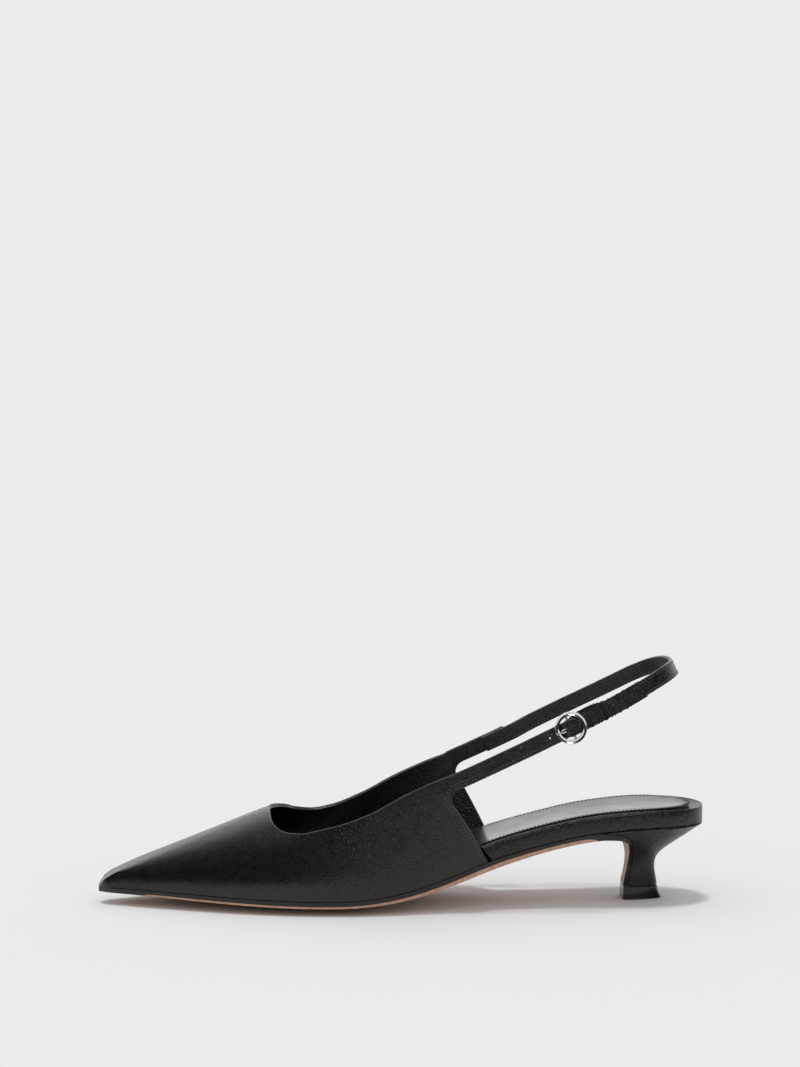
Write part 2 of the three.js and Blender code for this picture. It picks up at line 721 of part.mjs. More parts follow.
// Outsole: crowned tread, bevelled waist, then a flap down the heel breast
const acrossShares = [-1, -0.9, -0.7, -0.45, -0.2, 0.2, 0.45, 0.7, 0.9, 1];

function treadHeight(x, share) {
  const crown = lineCrown(x) * soleCrown * (1 - Math.abs(share) ** 2.4);
  return Math.max(lowerEdge(x) - crown, 0);
}

const soleInset = 0.6;         // the tread is narrower than the feather edge

function soleRing(x) {
  const centre = centreLine(x);
  const half = halfWidth(x);
  const low = Math.max(half - soleInset, half * 0.8);
  const under = acrossShares.map((share) => [x, centre + share * low, treadHeight(x, share)]);
  const top = featherLine(x);
  return [...under, [x, centre + half, top], [x, centre, top], [x, centre - half, top]];
}

// Heel breast in side view: x and height of the heel's front face, from the seat down
const seatRun = shoeLength - breastFoot;
const heelFoot = tipHeight + clearance;
const heelTopHeight = sideLine[sideLine.length - 1].rise * heelHeight;
const breastEdgeDrop = 0.6;    // the heel's front edge is nearly sharp

function heelRow(row) {
  return {
    level: row.level,
    z: mix(heelFoot, heelTopHeight, row.level),
    front: breastFoot + row.front * seatRun,
    back: breastFoot + row.back * seatRun,
    half: row.half * seatWidth,
  };
}

const heelRows = heelSide.map(heelRow);

function breastLine() {
  const edge = { front: breastTop, z: featherLine(breastTop) - breastEdgeDrop, half: halfWidth(breastTop) };
  return [edge, ...heelRows.slice().reverse()];
}

const flapInset = 0.8;         // the heel's cover shows beside the flap

function flapRings() {
  const line = breastLine();
  return line.map((row, i) => {
    const before = line[Math.max(i - 1, 0)];
    const after = line[Math.min(i + 1, line.length - 1)];
    const run = new THREE.Vector2(after.front - before.front, after.z - before.z).normalize();
    const normal = new THREE.Vector2(run.y, -run.x);
    const thick = mix(soleThickness - clearance, flapThickness, Math.min(i / 3, 1));
    const face = (depth) => [row.front + normal.x * depth, row.z + normal.y * depth];
    const [outerX, outerZ] = face(clearance + thick);
    const [innerX, innerZ] = face(clearance);
    const half = row.half - flapInset;
    const outer = acrossShares.map((share) => [outerX, centreLine(outerX) + share * half, outerZ]);
    const inner = [1, 0, -1].map((share) => [innerX, centreLine(innerX) + share * half, innerZ]);
    return [...outer, ...inner];
  });
}

function makeOutsole() {
  const flat = stations(0, breastTop - 3, 34, 0.35);
  const rings = [...flat.map(soleRing), ...flapRings()];
  return loft(rings);
}

// Heel: flat breast in front, round behind, flaring to the outline of the seat
const heelBackShares = [0, 0.25, 0.48, 0.68, 0.84, 0.95, 1];

function heelRing(front, back, halfAt, heightAt) {
  const side = heelBackShares.map((share) => {
    const x = mix(front, back, share);
    return { x, half: halfAt(share, x) };
  });
  const left = side.map(({ x, half }) => [x, centreLine(x) - half, heightAt(x)]);
  const right = side.slice(0, -1).reverse().map(({ x, half }) => [x, centreLine(x) + half, heightAt(x)]);
  return [...left, ...right, [front, centreLine(front), heightAt(front)]];
}

function makeHeel() {
  const rings = heelRows.map((row) => {
    const halfAt = (share) => row.half * Math.sqrt(1 - share ** 2.8);
    return heelRing(row.front, row.back, halfAt, () => row.z);
  });
  const seatZ = (x) => featherLine(x) - clearance;
  rings.push(heelRing(breastTop, shoeLength, (share, x) => halfWidth(x), (x) => seatZ(x) - lipDepth));
  rings.push(heelRing(breastTop, shoeLength, (share, x) => halfWidth(x), seatZ));
  return loft(rings);
}

const lipDepth = 0.5;          // edge of the heel's cup under the footbed

// Top piece: it carries on the heel's flare down to the floor
function makeTopPiece() {
  const foot = heelRows[0];
  const ringAt = (up) => {
    const t = 1 - (1 - up) ** 1.6;
    const front = mix(breastFoot, foot.front - flapThickness - clearance, t);
    const back = mix(breastFoot + tipLength, foot.back, t);
    const half = mix(tipWidth / 2, foot.half, t);
    return heelRing(front, back, (share) => half * Math.sqrt(1 - share ** 2.8), () => up * tipHeight);
  };
  return loft([0, 0.35, 0.7, 1].map(ringAt));
}

// Footbed: thin in the forepart inside the upper, a thick wrapped edge from the waist back
const footbedStart = 6.5;
const quarterGap = 0.8;
const shoulderRun = 1.5;

function insideWidth(x) {
  const slope = (halfWidth(x + 0.5) - halfWidth(x - 0.5)) / 1;
  return halfWidth(x) - (upperWall + 2 * clearance) * Math.hypot(1, slope);
}

function rearFootOf(side) {
  return side === lateral ? lateralRearFoot : medialRearFoot;
}

function footbedHalf(x, side) {
  const rear = rearFootOf(side);
  const past = x - rear - quarterGap;
  return mix(insideWidth(Math.min(x, rear)), halfWidth(x), ease(past / shoulderRun));
}

// Slant of a quarter's rear edge, along the shoe for each millimetre up
function rearSlant(side) {
  const top = side === lateral ? lateralRearTop : medialRearTop;
  return (rearFootOf(side) - top) / (toplineHeight(top, side) - featherLine(rearFootOf(side)));
}

// The rings lean with the quarter's rear edge where the wrapped edge begins
function shoulderLean(x, side, above) {
  return rearSlant(side) * above * (1 - ease((Math.abs(x - rearFootOf(side)) - 5) / 20));
}

const rimSteps = [
  { up: 0.0, out: 0.0 },
  { up: 0.3, out: 0.35 },
  { up: 0.65, out: 0.35 },
  { up: 0.9, out: -0.2 },
  { up: 1.0, out: -1.2 },
];
const rimInner = 2.6;
const bedShares = [0.8, 0.45, 0];

function footbedTop(x) {
  return featherLine(x) + clearance + footbedThick(x) * footbedHeight;
}

function bedHeight(x, share) {
  const dish = footbedHollow(x) * footbedDish * (1 - share * share);
  return footbedTop(x) - footbedBead(x) * beadHeight - dish;
}

function footbedRing(x) {
  const rounding = seatRound(x) * snub(x - footbedStart + 3, 4);
  const sidePoints = (side) => {
    const rim = rimSteps.map(({ up, out }) => {
      const bulge = out * (out < 0 ? rounding : rounding * footbedBead(x));
      const half = Math.max(footbedHalf(x, side) + bulge, 0);
      const at = x - shoulderLean(x, side, up * footbedThick(x) * footbedHeight);
      return [at, centreLine(at) + side * half, mix(featherLine(at) + clearance, footbedTop(at), up)];
    });
    const half = Math.max(footbedHalf(x, side) - rimInner * rounding, 0);
    const bed = bedShares.map((share) => [x, centreLine(x) + side * share * half, bedHeight(x, share)]);
    return [...rim, [x, centreLine(x) + side * half, bedHeight(x, 1)], ...bed];
  };
  const left = sidePoints(lateral);
  const right = sidePoints(medial).slice(0, -1).reverse();
  return [...left, ...right];
}

function makeFootbed() {
  const front = stations(footbedStart, lateralRearFoot - 3, 20, 0.2);
  const shoulders = [lateral, medial].flatMap((side) => {
    return [0, 0.35, 0.65, 1, 2].map((t) => rearFootOf(side) + quarterGap + t * shoulderRun);
  });
  const back = stations(medialRearFoot + 7, shoeLength, 18, 0.6).map((x) => Math.min(x, shoeLength));
  const rings = [...front, ...shoulders, ...back].map(footbedRing);
  return loft(rings);
}

// Sock: a thin padded sheet on the footbed, set in from the rim
const sockStart = 9;
const sockEnd = shoeLength - 6.5;
const sockInset = 3.4;

function sockRing(x) {
  const round = Math.sqrt(1 - Math.max((x - sockEnd + 26) / 26, 0) ** 3.2);
  const nose = snub(x - sockStart + 0.6, 4);
  const reach = (side) => {
    const rear = Math.min(x, sockEnd - 6);
    return Math.max((footbedHalf(rear, side) - sockInset) * round * nose, 1);
  };
  const shares = [-1, -0.8, -0.4, 0, 0.4, 0.8, 1];
  const at = (share, lift) => {
    const side = share < 0 ? lateral : medial;
    const y = centreLine(x) + share * reach(side);
    return [x, y, bedHeight(x, Math.abs(share)) + clearance + lift];
  };
  const under = shares.map((share) => at(share, 0));
  const over = shares.slice().reverse().map((share) => at(share * 0.985, sockThickness));
  return [...under, ...over];
}

function makeSock() {
  const rings = stations(sockStart, sockEnd, 34, 0.5).map(sockRing);
  return loft(rings);
}

// Heel strap: laps inside the medial quarter's strap and ends under the gathered tab
const lapInside = -(strapThickness + clearance + 0.15);
const slingEnd = strapPlaceAt(tabEnd - 8, lateral);
const slingStart = strapPlaceAt(strapLap, medial);

function makeHeelStrap() {
  const stops = evenStops(slingEnd, slingStart, stepAlong, (place) => {
    const lap = ease((place - medialStubEnd + 12) / 9);
    const half = strapWidth / 2;
    return { place, out: mix(0, lapInside, lap), low: -half, high: half };
  });
  return stripAlong(stops, strapThickness);
}

// Eye of the prong round the bar
const eyeInner = barRadius + clearance;
const eyeOuter = eyeInner + 2 * prongRadius;

// Gathered tab: a fold of elastic leather round the buckle's bar, sewn over the heel strap
const foldRadius = barRadius + clearance + tabThickness / 2;
const frontLayer = 0.15;
const backLayer = barOut - foldRadius;
const tabLapOut = strapThickness / 2 + clearance + tabThickness / 2;
const backLayerEnd = 19;       // inner layer of the fold, past the bar
const backLayerRise = 1.3;     // it stands above the outer layer
const backLayerFade = 7;       // and sinks behind it over this run
const lapRun = 6;              // the tab steps up onto the heel strap over this run
const pinRun = 1.4;            // its slot runs on past the prong's eye, for the pin

function makeTab() {
  const end = strapPlaceAt(tabEnd, lateral) - buckleCentre;
  const stop = (past, out, rise) => ({
    place: buckleCentre + past,
    out,
    low: -tabWidth / 2 + rise,
    high: tabWidth / 2 + rise,
  });
  const outerStops = evenStops(end, 6, 3, (past) => {
    const lap = ease((past - slingEnd + buckleCentre + lapRun + 1) / lapRun);
    return stop(past, mix(frontLayer, tabLapOut, lap), 0);
  });
  const climb = [4.4, 3, 1.8].map((past) => {
    const t = ease((6 - past) / 6);
    return stop(past, mix(frontLayer, barOut + foldRadius, Math.min(t * 1.25, 1)), 0);
  });
  const turns = [90, 125, 155, 180, 205, 235, 270].map((degrees) => {
    const angle = THREE.MathUtils.degToRad(degrees);
    return stop(foldRadius * Math.cos(angle), barOut + foldRadius * Math.sin(angle), 0);
  });
  const innerStops = evenStops(2, backLayerEnd, 3, (past) => {
    const fade = ease((backLayerEnd - past) / backLayerFade);
    return stop(past, backLayer, backLayerRise * ease(past / 5) * fade);
  });
  const strip = toManifold(stripAlong([...outerStops, ...climb, ...turns, ...innerStops], tabThickness));
  const slotHeight = 2 * prongRadius + 3 * clearance;
  const slot = new THREE.BoxGeometry(2 * (eyeOuter + clearance) + pinRun, 6, slotHeight);
  return toGeometry(strip.subtract(toManifold(placeOnStrap(slot, buckleCentre - pinRun / 2, barOut, 0))));
}

// Buckle: a round dished ring with a bar across its middle, set a little back
const dishDepth = 0.3;

function makeBuckle() {
  const outerRadius = buckleRadius + buckleBand / 2;
  const innerRadius = buckleRadius - buckleBand / 2;
  const bevel = 0.35;
  const flatHalf = buckleDepth / 2;
  const lip = 0.4;
  const profile = [
    [innerRadius, -flatHalf + bevel], [innerRadius + bevel, -flatHalf],
    [outerRadius - bevel, -flatHalf], [outerRadius, -flatHalf + bevel],
    [outerRadius, flatHalf - bevel], [outerRadius - lip / 2, flatHalf],
    [outerRadius - 2 * lip, flatHalf - dishDepth], [innerRadius + 2 * lip, flatHalf - dishDepth],
    [innerRadius + lip / 2, flatHalf], [innerRadius, flatHalf - bevel],
  ].map(([r, y]) => new THREE.Vector2(r, y));
  profile.push(profile[0].clone());
  const ring = toManifold(new THREE.LatheGeometry(profile, 44));
  const bar = new THREE.CylinderGeometry(barRadius, barRadius, 2 * buckleRadius, 10);
  bar.rotateX(Math.PI / 2);
  bar.translate(0, barOut - ringOut, 0);
  const legHeight = ringOut - barOut + barRadius;
  const leg = (side) => {
    const shape = new THREE.CylinderGeometry(barRadius, barRadius, legHeight, 10);
    shape.translate(0, -legHeight / 2, side * (buckleRadius - 0.1));
    return toManifold(shape);
  };
  const whole = ring.add(toManifold(bar)).add(leg(1)).add(leg(-1));
  return placeOnStrap(toGeometry(whole), buckleCentre, ringOut, 0);
}

// Prong: an eye round the bar and a pin through the billet, resting on the ring
function makeProng() {
  const half = prongRadius;
  const profile = [
    [eyeInner, -half], [eyeOuter, -half], [eyeOuter, half], [eyeInner, half], [eyeInner, -half],
  ].map(([r, y]) => new THREE.Vector2(r, y));
  const eye = new THREE.LatheGeometry(profile, 20);
  eye.rotateX(Math.PI / 2);
  eye.translate(0, barOut, 0);
  const rootOut = barOut + 0.5;
  const rest = ringOut + buckleDepth / 2 + clearance + prongRadius;
  const from = new THREE.Vector3(-(eyeInner + prongRadius), rootOut, 0);
  const to = new THREE.Vector3(-buckleRadius, rest, 0);
  const pin = new THREE.CylinderGeometry(prongRadius, prongRadius, from.distanceTo(to), 10);
  pin.applyQuaternion(new THREE.Quaternion().setFromUnitVectors(
    new THREE.Vector3(0, 1, 0),
    to.clone().sub(from).normalize(),
  ));
  pin.translate(...from.clone().add(to).multiplyScalar(0.5).toArray());
  return placeOnStrap(toGeometry(toManifold(eye).add(toManifold(pin))), buckleCentre, 0, 0);
}

addPiece("outsole", makeOutsole(), ...tanLeather);
addPiece("heel", makeHeel(), ...blackLeather);
addPiece("heel_top_piece", makeTopPiece(), ...blackRubber);
addPiece("footbed", makeFootbed(), ...blackLeather);
addPiece("sock", makeSock(), ...sockLeather);
addPiece("upper", makeUpper(), ...blackLeather);
addPiece("heel_strap", makeHeelStrap(), ...blackLeather);
addPiece("strap_tab", makeTab(), ...blackLeather);
addPiece("buckle_ring", makeBuckle(), ...silver);
addPiece("buckle_prong", makeProng(), ...silver);

// Origin at the middle of the shoe's box, on the floor
const box = new THREE.Box3().setFromObject(shoe);
const middle = box.getCenter(new THREE.Vector3());
shoe.position.set(-middle.x, -middle.y, -box.min.z);

export default shoe;
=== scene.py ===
import math
import bmesh
import bpy
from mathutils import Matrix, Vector
from mathutils.bvhtree import BVHTree


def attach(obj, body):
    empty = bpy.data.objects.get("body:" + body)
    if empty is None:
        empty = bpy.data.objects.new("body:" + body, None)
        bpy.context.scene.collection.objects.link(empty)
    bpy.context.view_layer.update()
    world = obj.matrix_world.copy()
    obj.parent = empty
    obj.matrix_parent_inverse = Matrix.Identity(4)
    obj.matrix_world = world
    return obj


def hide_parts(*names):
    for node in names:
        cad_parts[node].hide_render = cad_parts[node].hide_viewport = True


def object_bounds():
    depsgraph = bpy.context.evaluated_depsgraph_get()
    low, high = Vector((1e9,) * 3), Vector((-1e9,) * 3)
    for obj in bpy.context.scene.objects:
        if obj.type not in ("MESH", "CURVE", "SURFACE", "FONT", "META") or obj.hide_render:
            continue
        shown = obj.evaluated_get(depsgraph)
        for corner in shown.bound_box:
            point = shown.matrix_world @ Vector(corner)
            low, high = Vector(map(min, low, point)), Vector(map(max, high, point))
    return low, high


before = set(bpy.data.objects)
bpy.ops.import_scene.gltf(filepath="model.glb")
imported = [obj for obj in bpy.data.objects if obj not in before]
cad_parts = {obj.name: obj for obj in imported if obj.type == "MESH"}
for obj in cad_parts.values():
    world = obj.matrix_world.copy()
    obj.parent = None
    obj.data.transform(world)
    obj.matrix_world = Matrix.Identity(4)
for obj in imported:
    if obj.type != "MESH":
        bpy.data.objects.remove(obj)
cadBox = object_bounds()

mm = 0.001
shoeLength = cadBox[1].x - cadBox[0].x
toeTip = cadBox[0].x
print("slingback pump: frame loaded, length", round(shoeLength / mm, 1), "mm")


def station(distance):
    # place along the shoe, in millimetres from the toe tip
    return toeTip + distance * mm


def srgb(hexColour):
    parts = [int(hexColour[i:i + 2], 16) / 255 for i in (1, 3, 5)]
    return [p / 12.92 if p <= 0.04045 else ((p + 0.055) / 1.055) ** 2.4 for p in parts] + [1.0]


# Materials

def newMaterial(name):
    material = bpy.data.materials.new(name)
    material.use_nodes = True
    material.node_tree.nodes.clear()
    return material


def addNode(material, kind, settings=None, links=None):
    node = material.node_tree.nodes.new(kind)
    for name, value in (settings or {}).items():
        if hasattr(node, name):
            setattr(node, name, value)
        else:
            node.inputs[name].default_value = value
    for name, socket in (links or {}).items():
        material.node_tree.links.new(socket, node.inputs[name])
    return node


def finishMaterial(material, settings, links):
    shader = addNode(material, "ShaderNodeBsdfPrincipled", settings, links)
    output = addNode(material, "ShaderNodeOutputMaterial")
    material.node_tree.links.new(shader.outputs["BSDF"], output.inputs["Surface"])
    return material


def remap(material, source, fromLow, fromHigh, toLow, toHigh):
    settings = {"From Min": fromLow, "From Max": fromHigh, "To Min": toLow, "To Max": toHigh}
    return addNode(material, "ShaderNodeMapRange", settings, {"Value": source}).outputs["Result"]


def twoColours(material, factor, dark, light):
    node = addNode(material, "ShaderNodeMix", {"data_type": "RGBA"})
    node.inputs[6].default_value = srgb(dark)
    node.inputs[7].default_value = srgb(light)
    material.node_tree.links.new(factor, node.inputs[0])
    return node.outputs[2]


def leatherGrain(material, pebble, wrinkle, pebbleDepth, wrinkleDepth, tautUntil=None):
    # calf grain: small pebbles parted by fine lines, with wider soft unevenness under them;
    # it is drawn flat over the toe and opens up further back
    place = addNode(material, "ShaderNodeTexCoord").outputs["Object"]
    cells = {"feature": "SMOOTH_F1", "Scale": 1 / (pebble * mm), "Smoothness": 0.7, "Randomness": 0.9}
    pebbles = addNode(material, "ShaderNodeTexVoronoi", cells, {"Vector": place}).outputs["Distance"]
    waves = addNode(material, "ShaderNodeTexNoise",
                    {"Scale": 1 / (wrinkle * mm), "Detail": 4.0, "Roughness": 0.55},
                    {"Vector": place}).outputs["Fac"]
    grain = addNode(material, "ShaderNodeBump",
                    {"Strength": 1.0, "Distance": pebbleDepth * mm, "invert": True}, {"Height": pebbles})
    if tautUntil:
        along = addNode(material, "ShaderNodeSeparateXYZ", {}, {"Vector": place}).outputs["X"]
        taut, loose = tautUntil
        openness = remap(material, along, station(taut), station(loose), 0.12, 1.0)
        material.node_tree.links.new(openness, grain.inputs["Strength"])
    normal = addNode(material, "ShaderNodeBump", {"Strength": 1.0, "Distance": wrinkleDepth * mm},
                     {"Height": waves, "Normal": grain.outputs["Normal"]}).outputs["Normal"]
    return pebbles, waves, normal


def makeCalfLeather():
    # smooth calf, aniline dyed and lightly waxed: near black, a soft sheen broken by fine grain
    calf = {"shadow": "#0b0909", "body": "#151112", "tint": (1.0, 0.93, 0.92, 1.0),
            "pebble": 0.85, "wrinkle": 4.0, "pebbleDepth": 0.42, "wrinkleDepth": 0.16, "tautUntil": (75, 125)}
    material = newMaterial("smoothCalfLeather")
    pebbles, waves, normal = leatherGrain(material, calf["pebble"], calf["wrinkle"], calf["pebbleDepth"],
                                          calf["wrinkleDepth"], calf["tautUntil"])
    colour = twoColours(material, remap(material, waves, 0.35, 0.65, 0.0, 1.0), calf["shadow"], calf["body"])
    roughness = remap(material, pebbles, 0.1, 0.7, 0.22, 0.42)
    settings = {"Specular IOR Level": 0.5, "Specular Tint": calf["tint"],
                "Coat Weight": 0.15, "Coat Roughness": 0.2}
    links = {"Base Color": colour, "Roughness": roughness, "Normal": normal}
    return finishMaterial(material, settings, links)


def makeLiningLeather():
    # glazed goat lining: black, glossier than the upper, with a flat small grain
    material = newMaterial("glazedLiningLeather")
    pebbles, waves, normal = leatherGrain(material, 0.6, 9.0, 0.03, 0.25)
    colour = twoColours(material, remap(material, waves, 0.3, 0.7, 0.0, 1.0), "#121112", "#1c1b1d")
    roughness = remap(material, waves, 0.3, 0.7, 0.24, 0.36)
    settings = {"Coat Weight": 0.35, "Coat Roughness": 0.14}
    links = {"Base Color": colour, "Roughness": roughness, "Normal": normal}
    return finishMaterial(material, settings, links)


def makeSoleLeather():
    # vegetable tanned sole leather: tan below, its upper edge inked black
    material = newMaterial("vegTannedSoleLeather")
    sole = {"pale": "#c39a84", "deep": "#ab8068", "ink": "#120f10", "inkFrom": 0.36}
    place = addNode(material, "ShaderNodeTexCoord").outputs["Object"]
    fibre = addNode(material, "ShaderNodeTexNoise", {"Scale": 1 / (1.6 * mm), "Detail": 5.0},
                    {"Vector": place}).outputs["Fac"]
    tan = twoColours(material, remap(material, fibre, 0.35, 0.65, 0.0, 1.0), sole["deep"], sole["pale"])
    ink = addNode(material, "ShaderNodeAttribute", {"attribute_name": "ink"}).outputs["Fac"]
    inked = remap(material, ink, sole["inkFrom"], sole["inkFrom"] + 0.05, 0.0, 1.0)
    mix = addNode(material, "ShaderNodeMix", {"data_type": "RGBA"})
    mix.inputs[7].default_value = srgb(sole["ink"])
    material.node_tree.links.new(inked, mix.inputs[0])
    material.node_tree.links.new(tan, mix.inputs[6])
    roughness = remap(material, inked, 0.0, 1.0, 0.55, 0.36)
    normal = addNode(material, "ShaderNodeBump", {"Strength": 0.6, "Distance": 0.05 * mm},
                     {"Height": fibre}).outputs["Normal"]
    links = {"Base Color": mix.outputs[2], "Roughness": roughness, "Normal": normal}
    return finishMaterial(material, {}, links)


def makeTopPieceRubber():
    # moulded polyurethane top piece with a buffed wall: black and quite glossy
    material = newMaterial("buffedPolyurethane")
    place = addNode(material, "ShaderNodeTexCoord").outputs["Object"]
    buffing = addNode(material, "ShaderNodeTexNoise", {"Scale": 1 / (0.5 * mm), "Detail": 3.0},
                      {"Vector": place}).outputs["Fac"]
    roughness = remap(material, buffing, 0.3, 0.7, 0.2, 0.32)
    normal = addNode(material, "ShaderNodeBump", {"Strength": 0.3, "Distance": 0.03 * mm},
                     {"Height": buffing}).outputs["Normal"]
    settings = {"Base Color": srgb("#151314"), "Coat Weight": 0.3, "Coat Roughness": 0.08}
    return finishMaterial(material, settings, {"Roughness": roughness, "Normal": normal})


def makeSilverPlate():
    # nickel plated zinc casting, tumbled and polished: bright with a very slight orange peel
    material = newMaterial("polishedNickelPlate")
    place = addNode(material, "ShaderNodeTexCoord").outputs["Object"]
    peel = addNode(material, "ShaderNodeTexNoise", {"Scale": 1 / (0.9 * mm), "Detail": 2.0},
                   {"Vector": place}).outputs["Fac"]
    roughness = remap(material, peel, 0.3, 0.7, 0.1, 0.2)
    normal = addNode(material, "ShaderNodeBump", {"Strength": 0.15, "Distance": 0.02 * mm},
                     {"Height": peel}).outputs["Normal"]
    settings = {"Base Color": srgb("#e6e4e1"), "Metallic": 1.0}
    return finishMaterial(material, settings, {"Roughness": roughness, "Normal": normal})


def makeThread():
    # bonded polyester thread with a silky shine: its base colour is a paler grey than the black thread,
    # painted sheen so that the stitches show
    material = newMaterial("bondedPolyesterThread")
    place = addNode(material, "ShaderNodeTexCoord").outputs["Object"]
    twist = addNode(material, "ShaderNodeTexNoise", {"Scale": 1 / (0.4 * mm), "Detail": 1.0},
                    {"Vector": place}).outputs["Fac"]
    roughness = remap(material, twist, 0.3, 0.7, 0.24, 0.4)
    settings = {"Base Color": srgb("#474140"), "Sheen Weight": 0.2}
    return finishMaterial(material, settings, {"Roughness": roughness})


def makeEdgeLeather():
    # the same calf where it is folded at an edge: smoother, and coloured a little lighter as a painted
    # highlight along the edge
    material = newMaterial("foldedCalfEdgePaintedHighlight")
    pebbles, waves, normal = leatherGrain(material, 0.9, 6.0, 0.03, 0.05)
    roughness = remap(material, waves, 0.3, 0.7, 0.26, 0.4)
    colour = twoColours(material, remap(material, waves, 0.35, 0.65, 0.0, 1.0), "#1a1718", "#2c2929")
    settings = {"Specular IOR Level": 0.65, "Coat Weight": 0.3, "Coat Roughness": 0.15}
    links = {"Base Color": colour, "Roughness": roughness, "Normal": normal}
    return finishMaterial(material, settings, links)


print("materials")
calfLeather = makeCalfLeather()
edgeLeatherPaintedHighlight = makeEdgeLeather()
liningLeather = makeLiningLeather()
soleLeather = makeSoleLeather()
topPieceRubber = makeTopPieceRubber()
silverPlate = makeSilverPlate()
thread = makeThread()


# Camera, light and floor

def makeCamera():
    view = {"place": (-0.090, -1.393, 0.270), "down": 4.35, "turn": 3.65, "lens": 106.85, "film": 36}
    angles = (math.radians(90 - view["down"]), 0, math.radians(-view["turn"]))
    bpy.ops.object.camera_add(location=view["place"], rotation=angles)
    camera = bpy.context.object
    camera.name = "photoCamera"
    camera.data.sensor_fit = "VERTICAL"
    camera.data.sensor_height = view["film"]
    camera.data.lens = view["lens"]
    camera.data.clip_start = 0.05
    bpy.context.scene.camera = camera


def softbox(name, place, target, width, height, power, specularOnly):
    bpy.ops.object.light_add(type="AREA", location=place)
    light = bpy.context.object
    light.name = name
    light.data.shape = "RECTANGLE"
    light.data.size = width
    light.data.size_y = height
    light.data.energy = power
    light.rotation_euler = (Vector(target) - Vector(place)).to_track_quat("-Z", "Y").to_euler()
    light.visible_diffuse = not specularOnly
    light.visible_camera = False
    return light


def makeLight():
    # a white paper backdrop behind, a dark studio in front, and one lamp overhead
    studio = {"backdrop": "#ececec", "around": 0.71, "front": 0.02, "back": 1.15, "sun": 1.15, "spread": 9}
    world = bpy.data.worlds.new("studio")
    world.use_nodes = True
    bpy.context.scene.world = world
    tree = world.node_tree
    tree.nodes.clear()
    rays = tree.nodes.new("ShaderNodeLightPath")
    direction = tree.nodes.new("ShaderNodeTexCoord")
    parts = tree.nodes.new("ShaderNodeSeparateXYZ")
    tree.links.new(direction.outputs["Generated"], parts.inputs["Vector"])
    behind = tree.nodes.new("ShaderNodeMapRange")
    behind.interpolation_type = "SMOOTHSTEP"
    behind.inputs["From Min"].default_value = 0.1
    behind.inputs["From Max"].default_value = 0.8
    behind.inputs["To Min"].default_value = studio["front"]
    behind.inputs["To Max"].default_value = studio["back"]
    tree.links.new(parts.outputs["Y"], behind.inputs["Value"])
    strength = tree.nodes.new("ShaderNodeMix")
    strength.inputs["A"].default_value = studio["around"]
    tree.links.new(behind.outputs["Result"], strength.inputs["B"])
    tree.links.new(rays.outputs["Is Glossy Ray"], strength.inputs["Factor"])
    around = tree.nodes.new("ShaderNodeBackground")
    tree.links.new(strength.outputs["Result"], around.inputs["Strength"])
    around.inputs["Color"].default_value = (1, 1, 1, 1)
    backdrop = tree.nodes.new("ShaderNodeBackground")
    backdrop.inputs["Color"].default_value = srgb(studio["backdrop"])
    seen = tree.nodes.new("ShaderNodeMixShader")
    tree.links.new(rays.outputs["Is Camera Ray"], seen.inputs["Fac"])
    tree.links.new(around.outputs["Background"], seen.inputs[1])
    tree.links.new(backdrop.outputs["Background"], seen.inputs[2])
    output = tree.nodes.new("ShaderNodeOutputWorld")
    tree.links.new(seen.outputs["Shader"], output.inputs["Surface"])

    bpy.ops.object.light_add(type="SUN", location=(0, 0, 2))
    sun = bpy.context.object
    sun.name = "overheadLamp"
    sun.data.energy = studio["sun"]
    sun.data.angle = math.radians(studio["spread"])
    sun.rotation_euler = Vector((0.06, 0.0, -1.0)).to_track_quat("-Z", "Y").to_euler()
    sun.visible_glossy = False
    softbox("topSoftbox", (-0.1, 0.1, 1.5), (0, 0, 0.03), 1.0, 0.5, 7, True)
    softbox("frontSoftbox", (0.25, -1.3, 1.5), (0, 0, 0.03), 0.5, 0.5, 6, True)


def makeFloor():
    # matte seamless paper, far wider than the picture
    floor = {"size": 40.0, "paper": "#e4e4e4"}
    bpy.ops.mesh.primitive_plane_add(size=floor["size"])
    paper = bpy.context.object
    paper.name = "floor"
    material = newMaterial("seamlessPaper")
    place = addNode(material, "ShaderNodeTexCoord").outputs["Object"]
    tooth = addNode(material, "ShaderNodeTexNoise", {"Scale": 900.0, "Detail": 2.0}, {"Vector": place})
    normal = addNode(material, "ShaderNodeBump", {"Strength": 0.05, "Distance": 0.05 * mm},
                     {"Height": tooth.outputs["Fac"]}).outputs["Normal"]
    settings = {"Base Color": srgb(floor["paper"]), "Roughness": 0.9, "Specular IOR Level": 0.0}
    finishMaterial(material, settings, {"Normal": normal})
    paper.data.materials.append(material)


print("camera, light and floor")
bpy.ops.object.select_all(action="DESELECT")
bpy.context.scene.view_settings.view_transform = "Standard"
makeCamera()
makeLight()
makeFloor()


# Pieces

def only(piece):
    bpy.ops.object.select_all(action="DESELECT")
    piece.select_set(True)
    bpy.context.view_layer.objects.active = piece


def copyNode(nodeName, pieceName):
    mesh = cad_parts[nodeName].data.copy()
    mesh.materials.clear()
    piece = bpy.data.objects.new(pieceName, mesh)
    bpy.context.scene.collection.objects.link(piece)
    only(piece)
    bpy.ops.object.mode_set(mode="EDIT")
    bpy.ops.mesh.select_all(action="SELECT")
    bpy.ops.mesh.remove_doubles(threshold=0.005 * mm)
    bpy.ops.mesh.customdata_custom_splitnormals_clear()
    bpy.ops.mesh.tris_convert_to_quads(face_threshold=math.radians(50), shape_threshold=math.radians(60))
    bpy.ops.object.mode_set(mode="OBJECT")
    return piece


def addModifier(piece, kind, settings):
    modifier = piece.modifiers.new(kind.lower(), kind)
    for name, value in settings.items():
        setattr(modifier, name, value)
    only(piece)
    bpy.ops.object.modifier_apply(modifier=modifier.name)


